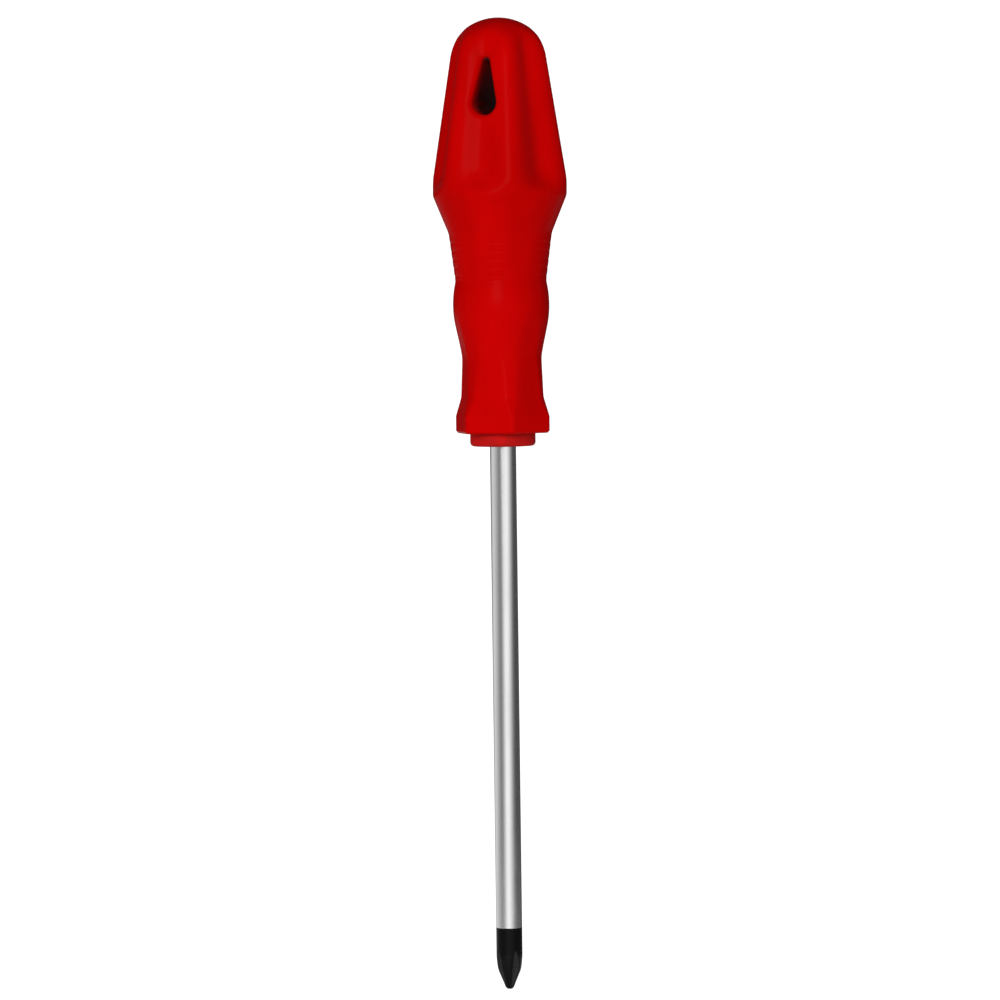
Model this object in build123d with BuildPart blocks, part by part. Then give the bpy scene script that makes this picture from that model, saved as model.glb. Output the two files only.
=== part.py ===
from build123d import *
from math import asin, atan2, cos, hypot, radians, sin, tan
import os

# Cross-head (size 2) screwdriver with a fixed blade, in millimetres.
# +Z runs up the tool's axis towards the butt and the tip points down.
# The origin is on that axis, at the centre of the hanging hole's round end,
# and the hanging hole runs along Y.
# A pair such as (8.85, 8.0) is a radius from the axis and a depth below the
# top of the dome.

# --- driving dimensions: whole tool ------------------------------------------
handle_length = 98.0        # top of the dome to the underside of the nose ring
blade_length = 125.0        # clear of the handle, tip included
blade_radius = 3.0          # the standard bar for a size 2 cross-head tip
hang_depth = 19.6           # top of the dome to the origin

# --- driving dimensions: grip ------------------------------------------------
butt_corner = (11.0, 6.6)   # where the dome meets the bell
bell_corner = (16.33, 38.6)
shoulder_foot = (11.84, 49.2)
upper_waist = (10.42, 60.2)
ring_crest = (11.6, 65.2)
lower_waist = (9.15, 77.5)
flare_start = (9.7, 86.9)
nose_corner = (11.25, 91.1)
nose_depth = 95.0
grip_rounds = [14.0, 10.0, 5.0, 2.0, 24.0, 8.0, 1.5]
nose_chamfer = 0.5

flats_start = (12.0, 63.8)  # the six flats leave the round waist here
flats_waist = (8.72, 77.0)
flats_flare = (8.9, 86.6)
flats_nose = (9.9, 91.1)
flats_rounds = [24.0, 8.0, 1.5]
clear_radius = 18.0         # outside everything

flute_count = 6
hollow_top = 9.5            # radius of a flute's hollow at its top and at its foot
hollow_foot = 13.0
flute_top = (8.85, 8.0)     # bottom of a flute
flute_foot = (12.65, 34.4)
flute_runout = 9.0          # rounding that closes a flute below its foot
flute_length = 45.0         # cutter above the foot, clear of the dome

ripple_count = 5            # shallow grooves round the upper waist
ripple_top = 51.45
ripple_pitch = 1.9
ripple_depth = 0.12
ripple_radius = 1.5

# --- driving dimensions: hanging hole ----------------------------------------
hole_radius = 2.85          # round lower end of the teardrop
hole_tip_radius = 0.8
hole_tip_height = 10.0      # centre of the tip's rounding above the origin
hole_lip = 1.0              # rounding of the hole's two mouths

# --- driving dimensions: handle core -----------------------------------------
core_top = (3.0, 4.0)
core_shoulder = (6.3, 8.0)
core_belly = (10.0, 37.0)
core_waist = (7.3, 50.0)
core_rounds = [3.0, 8.0, 8.0]
collar_radius = 8.4         # locks the grip along the axis
collar_depths = (62.6, 63.6, 66.4, 67.4)
core_neck = (6.3, 76.0)
core_neck_round = 20.0
ring_radius = 7.5           # stepped ring under the nose
ring_round = 0.9
key_count = 6               # ribs that lock the grip against turning
key_width = 2.4
key_points = ((8.2, 10.0), (11.2, 35.0), (9.2, 47.0))

# --- driving dimensions: blade -----------------------------------------------
tang_radius = 2.8
tang_top = 34.0             # depth of the tang's upper end
tang_bevel = 0.6
tang_taper = 2.0            # the bar narrows to the tang over this length, in the nose ring
wing_depths = (50.0, 74.0)  # middle of each pair of pressed wings
wing_width = 8.4
wing_thickness = 2.6
wing_length = 9.0
wing_corner = 0.9

tip_straight = 8.0          # end of the tip to the full bar
tip_swell = (2.88, 6.2)     # here radius and height above the end
tip_shoulder = (2.66, 4.4)
tip_cone_end = (1.2, 1.45)
tip_flat_radius = 0.45
groove_count = 4
groove_angle = 92.0         # between the two sides of a tip groove
groove_root = 0.85          # groove bottom to the axis at the end of the tip
groove_slope = 5.75
groove_straight = 4.6
groove_runout = 9.0
groove_turn_angle = 55.0
groove_lead = 2.0           # the cutter starts this far below the tip
groove_reach = 4.0          # side of the cutter's V, clear of the bar


def at_depth(depth):
    """Height of a point that lies this far below the top of the dome."""
    return hang_depth - depth


def outline(*points):
    """Radius and depth pairs, turned into the coordinates of an upright sketch."""
    return [(radius, at_depth(depth)) for radius, depth in points]


# --- worked out from them ----------------------------------------------------
tip_end = at_depth(handle_length + blade_length)
ring_face = at_depth(handle_length)
dome_radius = (butt_corner[0] ** 2 + butt_corner[1] ** 2) / (2 * butt_corner[1])
waist_slope = (shoulder_foot[0] - upper_waist[0]) / (upper_waist[1] - shoulder_foot[1])

# --- tip groove cutter: a V that runs up the tip, then curves out of the bar --
slope = radians(groove_slope)
groove_start = (groove_root - groove_lead * sin(slope), tip_end - groove_lead * cos(slope))
groove_bend = (
    groove_root + groove_straight * sin(slope),
    tip_end + groove_straight * cos(slope),
)
groove_width = groove_reach * sin(radians(groove_angle / 2))
groove_height = groove_reach * cos(radians(groove_angle / 2))
groove_plane = Plane(
    (groove_start[0], 0, groove_start[1]),
    x_dir=(cos(slope), 0, -sin(slope)),
    z_dir=(sin(slope), 0, cos(slope)),
)

with BuildPart() as groove_cutter:
    with BuildLine(Plane.XZ) as groove_path:
        Line(groove_start, groove_bend)
        JernArc(groove_bend, (sin(slope), cos(slope)), groove_runout, -groove_turn_angle)
    with BuildSketch(groove_plane):
        with BuildLine():
            Polyline(
                (0, 0),
                (groove_height, groove_width),
                (groove_height, -groove_width),
                close=True,
            )
        make_face()
    sweep(path=groove_path.wires()[0])

# --- blade: shank, cross-head tip and winged tang in one bar ------------------
with BuildPart() as blade:
    with BuildSketch(Plane.XZ):
        with BuildLine():
            Polyline(
                (0, at_depth(tang_top)),
                (tang_radius - tang_bevel, at_depth(tang_top)),
                (tang_radius, at_depth(tang_top + tang_bevel)),
                (tang_radius, ring_face + tang_taper),
                (blade_radius, ring_face),
                (blade_radius, tip_end + tip_straight),
            )
            ThreePointArc(
                (blade_radius, tip_end + tip_straight),
                (tip_swell[0], tip_end + tip_swell[1]),
                (tip_shoulder[0], tip_end + tip_shoulder[1]),
            )
            Polyline(
                (tip_shoulder[0], tip_end + tip_shoulder[1]),
                (tip_cone_end[0], tip_end + tip_cone_end[1]),
                (tip_flat_radius, tip_end),
                (0, tip_end),
                (0, at_depth(tang_top)),
            )
        make_face()
    revolve(axis=Axis.Z)
    with PolarLocations(0, groove_count, start_angle=45):
        add(groove_cutter.part, mode=Mode.SUBTRACT)
    for wing_depth in wing_depths:
        with BuildSketch(Plane.XY.offset(at_depth(wing_depth))):
            RectangleRounded(wing_width, wing_thickness, wing_corner)
        extrude(amount=wing_length / 2, both=True)

# --- handle core before its holes are cut ------------------------------------
waist_radius = core_waist[0]
neck_radius = core_neck[0]

with BuildPart() as core_blank:
    with BuildSketch(Plane.XZ):
        with BuildLine():
            Polyline(*outline((0, handle_length), (0, core_top[1]), core_top))
            FilletPolyline(
                *outline(core_top, core_shoulder, core_belly, core_waist,
                         (waist_radius, collar_depths[0])),
                radius=core_rounds,
            )
            Polyline(
                *outline(
                    (waist_radius, collar_depths[0]),
                    (collar_radius, collar_depths[1]),
                    (collar_radius, collar_depths[2]),
                    (waist_radius, collar_depths[3]),
                )
            )
            FilletPolyline(
                *outline((waist_radius, collar_depths[3]), core_neck, (neck_radius, nose_depth)),
                radius=core_neck_round,
            )
            Polyline(
                *outline(
                    (neck_radius, nose_depth),
                    (ring_radius, nose_depth),
                    (ring_radius, handle_length),
                    (0, handle_length),
                )
            )
        make_face()
    revolve(axis=Axis.Z)
    fillet(core_blank.faces().sort_by(Axis.Z)[0].edges(), radius=ring_round)
    for turn in range(0, 180, 360 // key_count):
        with BuildSketch(Plane.XZ.rotated((0, 0, turn))):
            with BuildLine():
                Polyline(
                    *outline((0, key_points[0][1]), *key_points, (0, key_points[-1][1])),
                    close=True,
                )
            make_face()
            mirror(about=Plane.YZ)
        extrude(amount=key_width / 2, both=True)

# --- hanging hole: a teardrop, pointed towards the butt -----------------------
with BuildPart() as hang_cutter:
    with BuildSketch(Plane.XZ):
        Circle(hole_radius)
        with Locations((0, hole_tip_height)):
            Circle(hole_tip_radius)
        make_hull()
    extrude(amount=clear_radius, both=True)

# --- handle core, moulded round the tang --------------------------------------
with BuildPart() as handle_core:
    add(core_blank.part)
    add(hang_cutter.part, mode=Mode.SUBTRACT)
    add(blade.part, mode=Mode.SUBTRACT)

# --- flute cutter: a cone hollows the bell and its round end closes the flute --
flute_run = (flute_foot[0] - flute_top[0], flute_foot[1] - flute_top[1])
flute_widening = asin((hollow_foot - hollow_top) / hypot(*flute_run))
flute_tilt = atan2(*flute_run) + flute_widening
flute_down = Vector(sin(flute_tilt), 0, -cos(flute_tilt))
flute_out = Vector(cos(flute_tilt), 0, sin(flute_tilt))
flute_centre = Vector(flute_foot[0], 0, at_depth(flute_foot[1])) + flute_out * hollow_foot
flute_plane = Plane(flute_centre, x_dir=-flute_out, z_dir=(0, -1, 0))
flute_narrow = hollow_foot - flute_length * tan(flute_widening)
flute_end = hollow_foot - flute_runout
flute_bevel = flute_runout * sin(radians(45))

with BuildPart() as flute_cutter:
    with BuildSketch(flute_plane):
        with BuildLine():
            Polyline(
                (flute_end, flute_runout),
                (0, flute_runout),
                (0, -flute_length),
                (flute_narrow, -flute_length),
                (hollow_foot, 0),
            )
            ThreePointArc(
                (hollow_foot, 0),
                (flute_end + flute_bevel, flute_bevel),
                (flute_end, flute_runout),
            )
        make_face()
    revolve(axis=Axis(flute_centre, flute_down))

# --- grip: turned outline, six flats at the nose, six flutes in the bell -------
with BuildPart() as grip:
    with BuildSketch(Plane.XZ):
        with BuildLine():
            RadiusArc(*outline((0, 0), butt_corner), dome_radius)
            FilletPolyline(
                *outline(butt_corner, bell_corner, shoulder_foot, upper_waist, ring_crest,
                         lower_waist, flare_start, nose_corner, (nose_corner[0], nose_depth)),
                radius=grip_rounds,
            )
            Polyline(*outline((nose_corner[0], nose_depth), (0, nose_depth), (0, 0)))
        make_face()
    revolve(axis=Axis.Z)

    flats_end = (flats_nose[0], nose_depth + 1)
    for turn in (30, 90, 150):
        with BuildSketch(Plane.XZ.rotated((0, 0, turn))):
            with BuildLine():
                Polyline(
                    *outline(
                        (0, -1),
                        (clear_radius, -1),
                        (clear_radius, flats_start[1]),
                        flats_start,
                    )
                )
                FilletPolyline(
                    *outline(flats_start, flats_waist, flats_flare, flats_nose, flats_end),
                    radius=flats_rounds,
                )
                Polyline(*outline(flats_end, (0, flats_end[1]), (0, -1)))
            make_face()
            mirror(about=Plane.YZ)
        extrude(amount=clear_radius, both=True, mode=Mode.INTERSECT)
    chamfer(grip.faces().sort_by(Axis.Z)[0].edges(), length=nose_chamfer)

    with PolarLocations(0, flute_count, start_angle=30):
        add(flute_cutter.part, mode=Mode.SUBTRACT)

    for ripple in range(ripple_count):
        ripple_at = ripple_top + ripple_pitch * ripple
        surface = upper_waist[0] + waist_slope * (upper_waist[1] - ripple_at)
        with BuildSketch(Plane.XZ):
            with Locations((surface + ripple_radius - ripple_depth, at_depth(ripple_at))):
                Circle(ripple_radius)
        revolve(axis=Axis.Z, mode=Mode.SUBTRACT)

    add(hang_cutter.part, mode=Mode.SUBTRACT)
    fillet(grip.edges(Select.LAST).filter_by(Axis.Y, reverse=True), radius=hole_lip)
    add(core_blank.part, mode=Mode.SUBTRACT)

# --- finished pieces ---------------------------------------------------------
os.makedirs("parts", exist_ok=True)

blade.part.label = "blade"
export_step(blade.part, "parts/blade.step")

handle_core.part.label = "handle_core"
export_step(handle_core.part, "parts/handle_core.step")

grip.part.label = "grip"
export_step(grip.part, "parts/grip.step")
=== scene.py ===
"""Cross-head screwdriver with a fixed blade: grip, handle core, blade, their finishes and a plain stage."""

import math

import bmesh
import bpy
import numpy as np
from bpy.props import FloatProperty, FloatVectorProperty, IntProperty, PointerProperty
from mathutils import Matrix, Vector


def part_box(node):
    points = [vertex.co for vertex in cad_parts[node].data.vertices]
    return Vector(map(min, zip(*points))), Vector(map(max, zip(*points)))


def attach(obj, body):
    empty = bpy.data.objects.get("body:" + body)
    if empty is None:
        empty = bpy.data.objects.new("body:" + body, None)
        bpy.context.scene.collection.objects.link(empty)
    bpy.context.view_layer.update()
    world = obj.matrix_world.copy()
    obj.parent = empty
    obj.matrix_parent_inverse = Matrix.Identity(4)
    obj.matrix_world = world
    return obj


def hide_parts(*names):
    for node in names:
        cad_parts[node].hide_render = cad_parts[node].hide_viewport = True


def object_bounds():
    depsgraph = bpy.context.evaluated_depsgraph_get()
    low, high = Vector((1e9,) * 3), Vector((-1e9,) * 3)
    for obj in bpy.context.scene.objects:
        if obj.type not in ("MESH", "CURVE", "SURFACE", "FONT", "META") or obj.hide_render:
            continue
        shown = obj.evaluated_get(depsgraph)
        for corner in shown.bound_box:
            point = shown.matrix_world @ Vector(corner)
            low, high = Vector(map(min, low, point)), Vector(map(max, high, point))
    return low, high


bl_info = {
    "name": "Cross-Head Screwdriver",
    "version": (1, 0, 0),
    "blender": (4, 5, 0),
    "location": "View3D > Sidebar > Screwdriver",
    "description": "Builds a cross-head screwdriver round its packed frame",
    "category": "Add Mesh",
}

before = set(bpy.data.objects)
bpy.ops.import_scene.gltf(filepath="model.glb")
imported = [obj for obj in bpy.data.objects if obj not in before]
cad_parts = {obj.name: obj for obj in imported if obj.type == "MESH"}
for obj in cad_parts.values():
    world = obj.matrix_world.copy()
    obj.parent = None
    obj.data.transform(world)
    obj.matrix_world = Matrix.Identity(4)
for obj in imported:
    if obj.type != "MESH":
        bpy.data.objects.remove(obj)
cad_low, cad_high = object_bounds()

MM = 0.001

# Heights that the frame fixes. The tool's axis is Z, with the butt up.
BUTT_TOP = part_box("grip")[1].z
RING_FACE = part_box("handle_core")[0].z
TANG_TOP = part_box("blade")[1].z
TIP_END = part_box("blade")[0].z

# Outlines are pairs of radius and depth below the butt's top, in millimetres.
BUTT_CORNER = (11.0, 6.6)
NOSE_DEPTH = 95.0
RING_DEPTH = 98.0
NOSE_CORNER = (11.25, 91.1)
NOSE_CHAMFER = 0.5
GRIP_CORNERS = (
    BUTT_CORNER, (16.165, 38.6), (11.84, 49.2), (10.42, 60.2), (11.6, 65.2), (9.15, 77.5),
    (9.7, 86.9), NOSE_CORNER, (NOSE_CORNER[0], NOSE_DEPTH - NOSE_CHAMFER),
    (NOSE_CORNER[0] - NOSE_CHAMFER, NOSE_DEPTH),
)
GRIP_ROUNDS = (10.0, 5.0, 2.0, 24.0, 8.0, 1.5, 0.6, 0.15)
FLAT_CORNERS = (
    (12.0, 63.8), (8.72, 77.0), (8.9, 86.6), (9.9, 91.1), (9.9, NOSE_DEPTH - NOSE_CHAMFER),
    (9.9 - NOSE_CHAMFER, NOSE_DEPTH),
)
FLAT_ROUNDS = (24.0, 8.0, 1.5, 0.15)
NO_FLAT = 18.0            # larger than the grip, where it has no flats
PLAIN_STEP = 0.45         # longest step down an outline

CORE_CORNERS = ((3.0, 4.0), (6.3, 8.0), (10.0, 37.0), (7.3, 50.0), (7.3, 62.6))
CORE_ROUNDS = (3.0, 8.0, 8.0)
COLLAR_CORNERS = ((8.4, 63.6), (8.4, 66.4))
NECK_CORNERS = ((7.3, 67.4), (6.3, 76.0), (6.3, NOSE_DEPTH))
NECK_ROUND = 20.0
RING_RADIUS = 7.5
RING_ROUND = 0.9
KEY_LINE = ((8.2, 10.0), (11.2, 35.0), (9.2, 47.0))
KEY_WIDTH = 2.4

TANG_RADIUS = 2.8
TANG_TAPER = 2.0          # the bar narrows to the tang over this length
BAR_SHOULDER = 0.1        # first band of the bar, which keeps the taper out of its shading
TANG_BEVEL = 0.6
WING_DEPTHS = (50.0, 74.0)
WING_SIZE = (8.4, 2.6, 9.0)
TIP_SHAPE = ((2.97, 7.1), (2.88, 6.2), (2.78, 5.3), (2.62, 4.4), (1.38, 1.45), (1.0, 0.45), (0.62, 0.0))
TIP_STRAIGHT = 8.0


# --- sizes and colours that a user would change ---
def length(name, description, default):
    """A length property, in metres, with its default in millimetres."""
    return FloatProperty(name=name, description=description, default=default * MM, unit="LENGTH", precision=5)


def angle(name, description, degrees):
    return FloatProperty(name=name, description=description, default=math.radians(degrees), subtype="ANGLE")


def colour(name, description, default):
    return FloatVectorProperty(name=name, description=description, default=default, subtype="COLOR", size=3,
                               min=0.0, max=1.0)


class GripSizes(bpy.types.PropertyGroup):
    """Rules of the grip: flutes, ripples and the hanging hole."""

    flutes: IntProperty(name="Flutes", description="Hollows round the bell, and flats round the nose", default=6)
    flute_top: length("Flute Top", "Axis to the bottom of a flute at its top", 9.15)
    flute_foot: length("Flute Foot", "Axis to the bottom of a flute at its foot", 12.95)
    flute_runout: length("Flute Runout", "Rounding that closes a flute below its foot", 9.0)
    flute_softness: length("Flute Softness", "Depth over which a flute's two ends fade into the bell", 1.6)
    flat_softness: length("Flat Softness", "Width of the blend at the six corners of the nose", 0.25)
    ripples: IntProperty(name="Ripples", description="Shallow grooves round the upper waist", default=5)
    ripple_pitch: length("Ripple Pitch", "Distance between two ripples", 1.9)
    ripple_depth: length("Ripple Depth", "Depth of a ripple", 0.06)
    hole_radius: length("Hole Radius", "Round lower end of the hanging hole", 2.85)
    hole_tip: length("Hole Tip", "Rounding of the hole's pointed end", 0.85)
    hole_height: length("Hole Height", "Distance between the centres of the hole's two roundings", 9.35)
    hole_lip: length("Hole Lip", "Rounding of the hole's mouths", 1.0)


class BladeSizes(bpy.types.PropertyGroup):
    """Rules of the blade: bar and cross-head tip."""

    radius: length("Bar Radius", "Radius of the round bar", 3.0)
    grooves: IntProperty(name="Grooves", description="Grooves of the cross-head tip", default=4)
    groove_angle: angle("Groove Angle", "Angle between the sides of a groove", 92.0)
    groove_root: length("Groove Root", "Axis to the bottom of a groove at the end of the tip", 0.85)
    groove_slope: angle("Groove Slope", "Rise of the groove's bottom from the axis", 5.75)
    groove_straight: length("Groove Straight", "Straight part of the groove's bottom", 4.6)
    groove_runout: length("Groove Runout", "Radius on which the groove runs out of the bar", 9.0)
    edge_softness: length("Edge Softness", "Width of the blend at the groove's edges", 0.14)
    black_length: length("Black Length", "Length of the black finish from the end of the tip", 14.2)


class Finishes(bpy.types.PropertyGroup):
    """Colours of the finishes."""

    grip_red: colour("Grip Red", "Colour of the moulded grip", (0.58, 0.0006, 0.0006))
    core_red: colour("Core Red", "Colour of the core's ring", (0.58, 0.005, 0.004))
    chrome: colour("Chrome", "Colour of the plated bar", (0.80, 0.80, 0.80))
    black: colour("Black Finish", "Colour of the tip's finish", (0.003, 0.003, 0.0032))


class StageSizes(bpy.types.PropertyGroup):
    """Camera, floor and light."""

    azimuth: angle("Camera Azimuth", "Turn of the camera round the tool", 18.0)
    elevation: angle("Camera Elevation", "Angle of the camera above the horizon", 2.5)
    roll: angle("Camera Roll", "Lean of the tool in the frame", 0.737)
    view_width: length("View Width", "Width of the view at the tool", 229.4)
    lens: FloatProperty(name="Lens", description="Focal length in millimetres", default=200.0)
    aim_right: length("Aim Right", "Aim to the right of the tool's middle", -0.86)
    aim_up: length("Aim Up", "Aim above the tool's middle", 1.10)


# --- node trees ---
def math_method(operation, swapped=False):
    """A method of Socket that adds one Math node with two inputs."""
    def method(self, other):
        pair = (other, self) if swapped else (self, other)
        return self.tree.node("ShaderNodeMath", {"operation": operation}, pair)
    return method


class Socket:
    """An output socket: arithmetic on it adds Math nodes to its tree."""

    __add__ = __radd__ = math_method("ADD")
    __sub__, __rsub__ = math_method("SUBTRACT"), math_method("SUBTRACT", swapped=True)
    __mul__ = __rmul__ = math_method("MULTIPLY")
    __truediv__, __rtruediv__ = math_method("DIVIDE"), math_method("DIVIDE", swapped=True)
    __gt__, __lt__ = math_method("GREATER_THAN"), math_method("LESS_THAN")
    min, max = math_method("MINIMUM"), math_method("MAXIMUM")

    def __init__(self, tree, link):
        self.tree = tree
        self.link = link

    def math(self, operation, *others):
        return self.tree.node("ShaderNodeMath", {"operation": operation}, (self, *others))

    def __abs__(self):
        return self.math("ABSOLUTE")

    def sqrt(self):
        return self.max(0.0).math("SQRT")

    def sin(self):
        return self.math("SINE")

    def cos(self):
        return self.math("COSINE")


class Nodes:
    """A node tree under construction."""

    def __init__(self, tree):
        self.tree = tree
        tree.nodes.clear()

    def node(self, kind, settings=None, sockets=(), output=0):
        """Adds a node: first its settings, then the values or links of its sockets."""
        made = self.tree.nodes.new(kind)
        for name, value in (settings or {}).items():
            if name == "stops":
                self.set_stops(made.color_ramp, value)
            else:
                setattr(made, name, value)
        pairs = sockets.items() if isinstance(sockets, dict) else enumerate(sockets)
        for key, value in pairs:
            for one in value if isinstance(value, list) else [value]:
                if isinstance(one, Socket):
                    self.tree.links.new(one.link, made.inputs[key])
                elif one is not None:
                    made.inputs[key].default_value = one
        return Socket(self, made.outputs[output]) if made.outputs else made

    @staticmethod
    def set_stops(ramp, stops):
        while len(ramp.elements) < len(stops):
            ramp.elements.new(0.5)
        for element, (place, value) in zip(ramp.elements, stops):
            element.position = place
            element.color = (*value, 1.0) if hasattr(value, "__len__") else (value, value, value, 1.0)

    def mix(self, factor, first, second):
        """Colour between first and second."""
        return self.node("ShaderNodeMix", {"data_type": "RGBA"}, {0: factor, 6: first, 7: second}, output=2)

    def split(self, vector):
        """The three parts of a vector."""
        first = self.node("ShaderNodeSeparateXYZ", {}, (vector,))
        return [Socket(self, socket) for socket in first.link.node.outputs]

    def smooth_step(self, value, low, high):
        """0 below low, 1 above high, and a smooth rise between."""
        return self.node("ShaderNodeMapRange", {"interpolation_type": "SMOOTHSTEP"}, (value, low, high, 0.0, 1.0))

    def noise(self, place, scale, detail=2.0, roughness=0.5):
        return self.node("ShaderNodeTexNoise", {}, {"Vector": place, "Scale": scale, "Detail": detail,
                                                    "Roughness": roughness})


def soft_min(first, second, width):
    """The smaller of two sockets, rounded over width, and how near the two are (0 to 1)."""
    near = (width - abs(first - second)).max(0.0) / width
    return first.min(second) - near * near * width * 0.25, near


# --- rules: Geometry Nodes trees that shape a turned blank ---
class Rule:
    """A Geometry Nodes tree with named inputs, run once on a blank and made a plain mesh."""

    def __init__(self, name, values):
        self.group = bpy.data.node_groups.new(name, "GeometryNodeTree")
        self.nodes = Nodes(self.group)
        face = self.group.interface
        face.new_socket(name="Blank", in_out="INPUT", socket_type="NodeSocketGeometry")
        self.values = {}
        kinds = {float: "NodeSocketFloat", int: "NodeSocketInt", bpy.types.Object: "NodeSocketObject",
                 bpy.types.Material: "NodeSocketMaterial"}
        for title, value in values.items():
            made = face.new_socket(name=title, in_out="INPUT", socket_type=kinds[type(value)])
            self.values[made.identifier] = value
        face.new_socket(name="Piece", in_out="OUTPUT", socket_type="NodeSocketGeometry")
        self.entry = self.nodes.node("NodeGroupInput").link.node

    def input(self, title):
        return Socket(self.nodes, self.entry.outputs[title])

    def read(self, title):
        """A number that the blank carries on its points."""
        return self.nodes.node("GeometryNodeInputNamedAttribute", {"data_type": "FLOAT"}, {"Name": title})

    def place(self):
        """Height, azimuth and radius of a point, its radius before it was drawn in on an end face."""
        position = self.nodes.node("GeometryNodeInputPosition")
        x, y, z = self.nodes.split(position)
        share = self.read("share")
        turned = (x * x + y * y).sqrt() / share.max(1e-6)
        azimuth = y.math("ARCTAN2", x)
        return z, azimuth, turned, share

    def shape(self, z, azimuth, radius, inward=None):
        """Moves each point that isn't fixed to its new radius, then inward along Y."""
        x = azimuth.cos() * radius
        y = azimuth.sin() * radius
        if inward is not None:
            y = y - y.math("SIGN") * inward
        moved = self.nodes.node("ShaderNodeCombineXYZ", {}, (x, y, z))
        free = self.read("fixed") < 0.5
        return self.nodes.node("GeometryNodeSetPosition", {}, {"Geometry": self.input("Blank"), "Selection": free,
                                                              "Position": moved})

    def store(self, geometry, title, value):
        """Keeps a number on the points, for the piece's material."""
        return self.nodes.node("GeometryNodeStoreNamedAttribute", {"data_type": "FLOAT", "domain": "POINT"},
                               {"Geometry": geometry, "Name": title, "Value": value})

    def cut(self, geometry, titles):
        """Takes the named objects' shapes away."""
        cutters = [self.nodes.node("GeometryNodeObjectInfo", {}, {"Object": self.input(t)}, output="Geometry")
                   for t in titles]
        return self.nodes.node("GeometryNodeMeshBoolean", {"operation": "DIFFERENCE", "solver": "EXACT"},
                               {"Mesh 1": geometry, "Mesh 2": cutters})

    def close(self, geometry):
        real = self.nodes.node("GeometryNodeRealizeInstances", {}, {"Geometry": geometry})
        final = self.nodes.node("GeometryNodeSetMaterial", {}, {"Geometry": real, "Material": self.input("Finish")})
        self.nodes.node("NodeGroupOutput", {}, (final,))

    def run(self, blank, name, sharp=math.radians(35.0)):
        """Runs the tree on the blank object and returns a plain object with the resulting mesh."""
        modifier = blank.modifiers.new(name, "NODES")
        modifier.node_group = self.group
        for identifier, value in self.values.items():
            modifier[identifier] = value
        graph = bpy.context.evaluated_depsgraph_get()
        mesh = bpy.data.meshes.new_from_object(blank.evaluated_get(graph), depsgraph=graph)
        blank.modifiers.remove(modifier)
        if not mesh.polygons:
            raise RuntimeError(f"the rule made no faces for {name}")
        mesh.name = name
        mesh.shade_smooth()
        mesh.set_sharp_from_angle(angle=sharp)
        made = bpy.data.objects.new(name, mesh)
        bpy.context.scene.collection.objects.link(made)
        return made


def finish_piece(piece, node, slot, *blanks):
    """Parents the piece to the root body, hides its CAD node and removes the blanks."""
    for blank in blanks:
        bpy.data.objects.remove(blank)
    open_edges = count_open_edges(piece.data)
    if open_edges:
        raise RuntimeError(f"{piece.name} has {open_edges} open edges")
    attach(piece, "root")
    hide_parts(node)


def count_open_edges(mesh):
    shape = bmesh.new()
    shape.from_mesh(mesh)
    found = sum(1 for edge in shape.edges if len(edge.link_faces) != 2)
    shape.free()
    return found


# --- outlines and turned blanks ---
def rounded(corners, rounds, step=PLAIN_STEP, turn_step=math.radians(5.0)):
    """The line through the corners, each inner corner an arc of its radius, in steps no longer than step."""
    corners = [np.array(corner, float) for corner in corners]
    line = [corners[0]]
    for before, corner, after, radius in zip(corners, corners[1:], corners[2:], rounds):
        back = (before - corner) / np.linalg.norm(before - corner)
        ahead = (after - corner) / np.linalg.norm(after - corner)
        half = math.acos(float(np.dot(back, ahead))) / 2
        turn = math.pi - 2 * half
        middle = corner + (back + ahead) / np.linalg.norm(back + ahead) * radius / math.sin(half)
        start = corner + back * radius / math.tan(half) - middle
        end = corner + ahead * radius / math.tan(half) - middle
        pieces = max(2, math.ceil(turn / turn_step), math.ceil(radius * turn / step))
        for k in range(pieces + 1):
            share = k / pieces
            swept = start * math.sin((1 - share) * turn) + end * math.sin(share * turn)
            line.append(middle + swept / math.sin(turn))
    line.append(corners[-1])
    return divided(line, step)


def divided(line, step):
    """The line with its long runs divided, so that no step is longer than step."""
    points = [line[0]]
    for start, end in zip(line, line[1:]):
        start, end = np.array(start, float), np.array(end, float)
        run = float(np.linalg.norm(end - start))
        if run < 1e-6:
            continue
        pieces = math.ceil(run / step)
        points += [start + (end - start) * (k + 1) / pieces for k in range(pieces)]
    return points


def height(depth):
    """Height of a point this many millimetres below the top of the butt."""
    return BUTT_TOP - depth * MM


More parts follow.
